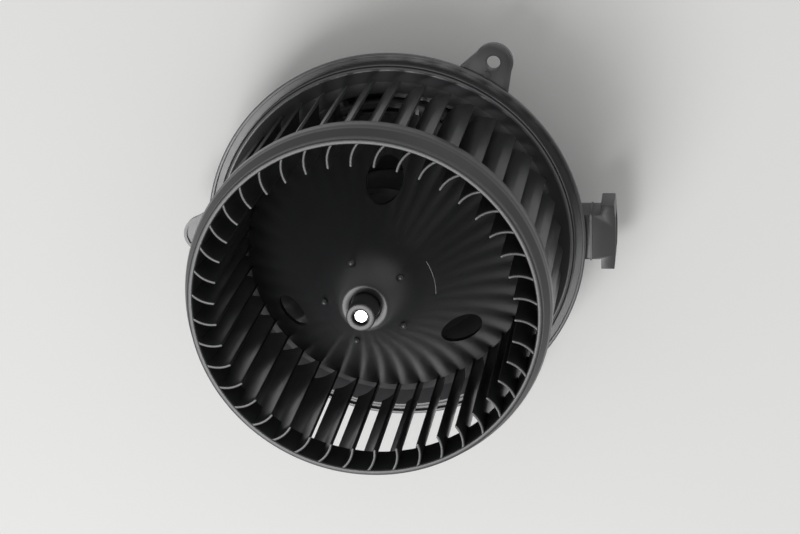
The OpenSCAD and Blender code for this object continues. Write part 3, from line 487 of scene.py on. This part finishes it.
def wheel_blades(s):
    """One blade, swept along its arc, cut at both ends and rounded, then copied round the axis."""
    t, count = s.blade_thickness, s.blade_count
    start, bow = s.blade_inner + 1 * MM, s.blade_curve
    a, b = 2 * start * bow, 2 * bow * bow
    sweep = math.atan2(b, a) + math.asin(
        (s.blade_outer ** 2 - start ** 2 - b) / math.hypot(a, b))
    obj = begin("wheel_blades", bpy.ops.mesh.primitive_plane_add, size=MM)
    bpy.ops.mesh.select_all(action="SELECT")
    bpy.ops.mesh.merge(type="CENTER")
    corner = Vector((s.blade_inner, -t / 2, s.back))
    bpy.ops.transform.translate(value=corner)
    bpy.ops.mesh.extrude_vertices_move(TRANSFORM_OT_translate={"value": (0, t, 0)})
    bpy.ops.mesh.select_all(action="SELECT")
    bpy.ops.mesh.extrude_region_move(
        TRANSFORM_OT_translate={"value": (start - s.blade_inner, 0, 0)})
    bpy.ops.mesh.spin(steps=12, angle=sweep, center=(start, -bow, s.back), axis=(0, 0, 1))
    bpy.ops.mesh.select_all(action="SELECT")
    bpy.ops.mesh.remove_doubles(threshold=MERGE)
    choose(obj, "verts", lambda v: v.co.x < s.blade_inner + 0.01 * MM)
    bpy.ops.mesh.bevel(offset=t * 0.47, segments=3, affect="VERTICES")
    bpy.ops.mesh.select_all(action="SELECT")
    bpy.ops.mesh.extrude_region_move(
        TRANSFORM_OT_translate={"value": (0, 0, s.front - 0.2 * MM - s.back)})
    bpy.ops.mesh.select_all(action="SELECT")
    bpy.ops.mesh.normals_make_consistent(inside=False)
    mesh = bmesh.from_edit_mesh(obj.data)
    tip = max(mesh.verts, key=lambda v: v.co.xy.length).co
    out = Vector((tip.x, tip.y, 0)).normalized()
    across = out.cross(Vector((0, 0, 1)))
    back_slant = (4.5 * MM, s.back, 0.0, s.back + 2.5 * MM)
    front_slant = (4.15 * MM, s.front - 0.3 * MM, 0.05 * MM, s.front - 15.5 * MM)
    for inset_here, z_here, inset_there, z_there in (back_slant, front_slant):
        here = out * (s.blade_outer - inset_here) + Vector((0, 0, z_here))
        there = out * (s.blade_outer - inset_there) + Vector((0, 0, z_there))
        normal = (there - here).cross(across)
        if normal.dot(out) < 0:
            normal = -normal
        bisect(obj, here, normal)
    middle = (s.front + s.back) / 2
    for cut, in_front in ((s.edge_round, False), (0.12 * MM, True)):
        choose(obj, "edges", lambda e: (e.verts[0].co.z > middle) == in_front and any(
            abs(f.normal.z) > 0.3 for f in e.link_faces) and any(
            abs(f.normal.z) < 0.05 for f in e.link_faces))
        bpy.ops.mesh.bevel(offset=cut, segments=2, affect="EDGES")
    bpy.ops.mesh.select_all(action="SELECT")
    bpy.ops.transform.rotate(value=-s.first_blade, orient_axis="Z", center_override=(0, 0, 0))
    bpy.ops.mesh.select_all(action="SELECT")
    bpy.ops.mesh.spin(steps=count - 1, dupli=True, angle=math.tau * (count - 1) / count,
                      center=(0, 0, 0), axis=(0, 0, 1))
    bpy.ops.object.mode_set(mode="OBJECT")
    return obj


def wheel_pips(s):
    """Five domes round the top of the cone and a small one at the root of every blade."""
    pips = []
    root_turn = math.degrees(s.first_blade) + 1.2
    domes = (5, 37.0, 17.9 * MM, 0.8 * MM, 1.5 * MM, 16)
    roots = (s.blade_count, root_turn, 60.9 * MM, -0.5 * MM, 0.55 * MM, 8)
    for count, turn, radius, rise, size, sides in (domes, roots):
        place = polar(radius, turn, cone_z(s, radius) + rise)
        obj = begin("wheel_pip", bpy.ops.mesh.primitive_uv_sphere_add, segments=sides,
                    ring_count=sides // 2, radius=size, location=place)
        bpy.ops.mesh.select_all(action="SELECT")
        bpy.ops.transform.resize(value=(1, 1, 0.8), center_override=place)
        bpy.ops.mesh.spin(steps=count - 1, dupli=True, angle=math.tau * (count - 1) / count,
                          center=(0, 0, 0), axis=(0, 0, 1))
        bpy.ops.object.mode_set(mode="OBJECT")
        pips.append(obj)
    return pips


def wheel_arrow(s):
    """The fine raised arrow that shows which way the wheel turns: a curved line and its head."""
    line, wide = 26.7 * MM, 0.28 * MM
    place = polar(line, 30.0, cone_z(s, line) - 0.27 * MM)
    arrow = begin("wheel_arrow", bpy.ops.mesh.primitive_plane_add, size=wide, location=place,
                  rotation=(math.radians(90), 0, math.radians(30)))
    bpy.ops.mesh.select_all(action="SELECT")
    bpy.ops.transform.resize(value=(1, 1, 2.2), center_override=place)
    bpy.ops.mesh.spin(steps=12, angle=math.radians(32), center=(0, 0, 0), axis=(0, 0, 1))
    bpy.ops.mesh.select_all(action="SELECT")
    bpy.ops.mesh.normals_make_consistent(inside=False)
    bpy.ops.object.mode_set(mode="OBJECT")
    place = polar(line, -5.0, cone_z(s, line))
    slope = math.hypot(CONE_FALL, 1.0)
    out, ahead = polar(CONE_FALL / slope, -5.0, 1.0 / slope), polar(1.0, -95.0)
    facing = Matrix((ahead.cross(out), ahead, out)).transposed().to_euler()
    head = begin("wheel_arrow_head", bpy.ops.mesh.primitive_circle_add, vertices=3,
                 radius=1.5 * MM, fill_type="NGON", location=place - out * 0.3 * MM,
                 rotation=facing)
    bpy.ops.mesh.select_all(action="SELECT")
    bpy.ops.mesh.extrude_region_move(TRANSFORM_OT_translate={"value": out * 0.38 * MM})
    bpy.ops.mesh.select_all(action="SELECT")
    bpy.ops.mesh.normals_make_consistent(inside=False)
    bpy.ops.object.mode_set(mode="OBJECT")
    return [arrow, head]


class BLOWER_OT_wheel(bpy.types.Operator):
    """Models the one-piece fan wheel: ring, blades, cone, collar, boss, pips and arrow"""
    bl_idname = "blower.wheel"
    bl_label = "Fan Wheel"

    def execute(self, context):
        s = context.scene.blower_wheel
        hub = wheel_hub(s)
        cutter = begin("hole_cutter", bpy.ops.mesh.primitive_cylinder_add, vertices=64,
                       radius=7.8 * MM, depth=60 * MM, location=polar(42.2 * MM, 84.5, 50 * MM))
        bpy.ops.mesh.select_all(action="SELECT")
        bpy.ops.mesh.spin(steps=2, dupli=True, angle=math.tau * 2 / 3,
                          center=(0, 0, 0), axis=(0, 0, 1))
        bpy.ops.object.mode_set(mode="OBJECT")
        boolean(hub, cutter, "DIFFERENCE")
        wheel = join([hub, wheel_ring(s), wheel_blades(s), *wheel_pips(s), *wheel_arrow(s)])
        wheel.name = wheel.data.name = "wheel_moulding"
        finish_piece(wheel, "rotor", "fan_plastic", ["fan_wheel"])
        return {"FINISHED"}


# Housings


def copy_node(name, node):
    """A merged copy of a CAD node with its flat faces joined again, open for selection."""
    obj = bpy.data.objects.new(name, NODES[node].data.copy())
    bpy.context.scene.collection.objects.link(obj)
    obj.data.name = name
    bpy.ops.object.select_all(action="DESELECT")
    bpy.context.view_layer.objects.active = obj
    obj.select_set(True)
    bpy.ops.object.mode_set(mode="EDIT")
    bpy.ops.mesh.select_all(action="SELECT")
    bpy.ops.mesh.remove_doubles(threshold=MERGE)
    bpy.ops.mesh.dissolve_limited(angle_limit=math.radians(1.0))
    bpy.ops.object.mode_set(mode="OBJECT")
    return obj


def round_edges(obj, width):
    """Rounds every edge of the piece that turns by more than 50 degrees."""
    step = obj.modifiers.new("rounding", "BEVEL")
    step.width, step.segments = width, 2
    step.limit_method, step.angle_limit = "ANGLE", math.radians(50.0)
    step.use_clamp_overlap = True
    bpy.ops.object.modifier_apply(modifier=step.name)


class BLOWER_OT_connector(bpy.types.Operator):
    """Models the connector: rounded housing with a rib round its neck"""
    bl_idname = "blower.connector"
    bl_label = "Connector"

    def execute(self, context):
        s = context.scene.blower_housing
        low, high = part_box("connector_housing")
        tall, middle = high.z - low.z, (s.rib_place, 0.0, (low.z + high.z) / 2)
        rib = begin("neck_rib", bpy.ops.mesh.primitive_cube_add, size=1.0, location=middle,
                    scale=(s.rib_width, 21.6 * MM, tall + 0.02 * MM))
        choose(rib, "edges", lambda e: abs(e.verts[0].co.y - e.verts[1].co.y) < 0.1 * MM)
        bpy.ops.mesh.bevel(offset=0.25 * MM, segments=2, affect="EDGES")
        bpy.ops.object.mode_set(mode="OBJECT")
        housing = copy_node("connector_moulding", "connector_housing")
        round_edges(housing, s.edge_round)
        socket = begin("socket_space", bpy.ops.mesh.primitive_cube_add, size=1.0, location=middle,
                       scale=(4 * MM, 16.6 * MM, tall - 4 * MM))
        bpy.ops.object.mode_set(mode="OBJECT")
        boolean(rib, socket, "DIFFERENCE")
        boolean(housing, rib, "UNION")
        finish_piece(housing, "stator", "connector_plastic", ["connector_housing"])
        return {"FINISHED"}


class BLOWER_OT_rounded(bpy.types.Operator):
    """Rounds the edges of the motor can, the clamp ring and the clamp screws"""
    bl_idname = "blower.rounded"
    bl_label = "Can and Clamp"

    def execute(self, context):
        s = context.scene.blower_housing
        for node in ("motor_can", "clamp_ring", "clamp_screws"):
            piece = copy_node(f"{node}_rounded", node)
            round_edges(piece, s.edge_round)
            finish_piece(piece, "stator", NODE_SLOTS[node], [node])
        return {"FINISHED"}


# Stage


def floor_material(colour):
    """Plain pale floor with the faintest change of tone."""
    t = Tree("pale_floor")
    tone = t.noise(3.0, 2.0)
    t.link(t.ramp(tone, [(0.3, shade(colour, 0.99)), (0.7, shade(colour, 1.01))]),
           t.shader.inputs["Base Color"])
    t.set(Roughness=0.85, Specular_IOR_Level=0.2)
    return t.material


def soft_light(name, place, aim, size, power):
    """A large soft lamp turned to a point."""
    data = bpy.data.lights.new(name, "AREA")
    data.shape = "RECTANGLE"
    data.size, data.size_y = size
    data.energy = power
    light = bpy.data.objects.new(name, data)
    light.location = place
    light.rotation_euler = (Vector(aim) - Vector(place)).to_track_quat("-Z", "Y").to_euler()
    bpy.context.scene.collection.objects.link(light)


class BLOWER_OT_stage(bpy.types.Operator):
    """Builds the floor, the lights, the surround and the camera"""
    bl_idname = "blower.stage"
    bl_label = "Studio"

    def execute(self, context):
        s = context.scene.blower_studio
        bpy.ops.object.select_all(action="DESELECT")
        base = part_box("mounting_flange")[0].z
        bpy.ops.mesh.primitive_plane_add(size=30.0, location=(0.0, 0.0, base))
        floor = context.active_object
        floor.name = "studio_floor"
        bpy.ops.object.transform_apply(location=True, rotation=True, scale=True)
        coat(floor, floor_material(s.floor_colour))
        centre = (0.0, 0.0, 0.05)
        soft_light("front_light", (-0.30, -0.46, 1.23), centre, (0.50, 0.60), s.front_power)
        soft_light("low_light", (-0.35, -1.00, 0.85), centre, (0.9, 0.6), s.low_power)
        soft_light("back_light", (0.75, 1.10, 0.25), centre, (1.3, 0.5), s.back_power)
        world = bpy.data.worlds.new("even_surround")
        world.use_nodes = True
        back = world.node_tree.nodes["Background"]
        back.inputs["Color"].default_value = (1.0, 1.0, 1.0, 1.0)
        tree = world.node_tree
        place = tree.nodes.new("ShaderNodeTexCoord")
        split = tree.nodes.new("ShaderNodeSeparateXYZ")
        fade = tree.nodes.new("ShaderNodeMapRange")
        fade.inputs["To Min"].default_value = s.world_strength
        fade.inputs["To Max"].default_value = s.world_strength * s.overhead_share
        tree.links.new(place.outputs["Generated"], split.inputs["Vector"])
        tree.links.new(split.outputs["Z"], fade.inputs["Value"])
        tree.links.new(fade.outputs["Result"], back.inputs["Strength"])
        context.scene.world = world
        context.scene.view_settings.view_transform = "Standard"
        data = bpy.data.cameras.new("photo_camera")
        data.lens = s.lens
        data.sensor_width = 36.0
        data.clip_start, data.clip_end = 0.01, 100.0
        camera = bpy.data.objects.new("photo_camera", data)
        camera.location = CAMERA_PLACE
        camera.rotation_euler = [math.radians(a) for a in CAMERA_TURN]
        context.scene.collection.objects.link(camera)
        context.scene.camera = camera
        return {"FINISHED"}


# Panel and registration


class BLOWER_PT_panel(bpy.types.Panel):
    """Settings and steps of the blower motor"""
    bl_idname = "BLOWER_PT_panel"
    bl_label = "Blower Motor"
    bl_space_type = "VIEW_3D"
    bl_region_type = "UI"
    bl_category = "Blower"

    def draw(self, context):
        for settings in (context.scene.blower_finish, context.scene.blower_wheel,
                         context.scene.blower_housing, context.scene.blower_studio):
            box = self.layout.box()
            for name in settings.__annotations__:
                box.prop(settings, name)
        for step in STEPS:
            self.layout.operator(step.bl_idname)


STEPS = (BLOWER_OT_finishes, BLOWER_OT_wheel, BLOWER_OT_connector, BLOWER_OT_rounded,
         BLOWER_OT_stage)
CLASSES = (FinishSettings, WheelSettings, HousingSettings, StudioSettings, *STEPS,
           BLOWER_PT_panel)


def register():
    for item in CLASSES:
        bpy.utils.register_class(item)
    bpy.types.Scene.blower_finish = PointerProperty(type=FinishSettings)
    bpy.types.Scene.blower_wheel = PointerProperty(type=WheelSettings)
    bpy.types.Scene.blower_housing = PointerProperty(type=HousingSettings)
    bpy.types.Scene.blower_studio = PointerProperty(type=StudioSettings)


def unregister():
    del bpy.types.Scene.blower_studio
    del bpy.types.Scene.blower_housing
    del bpy.types.Scene.blower_wheel
    del bpy.types.Scene.blower_finish
    for item in reversed(CLASSES):
        bpy.utils.unregister_class(item)


def main():
    register()
    bpy.ops.blower.finishes()
    bpy.ops.blower.wheel()
    bpy.ops.blower.connector()
    bpy.ops.blower.rounded()
    bpy.ops.blower.stage()


if __name__ == "__main__":
    main()
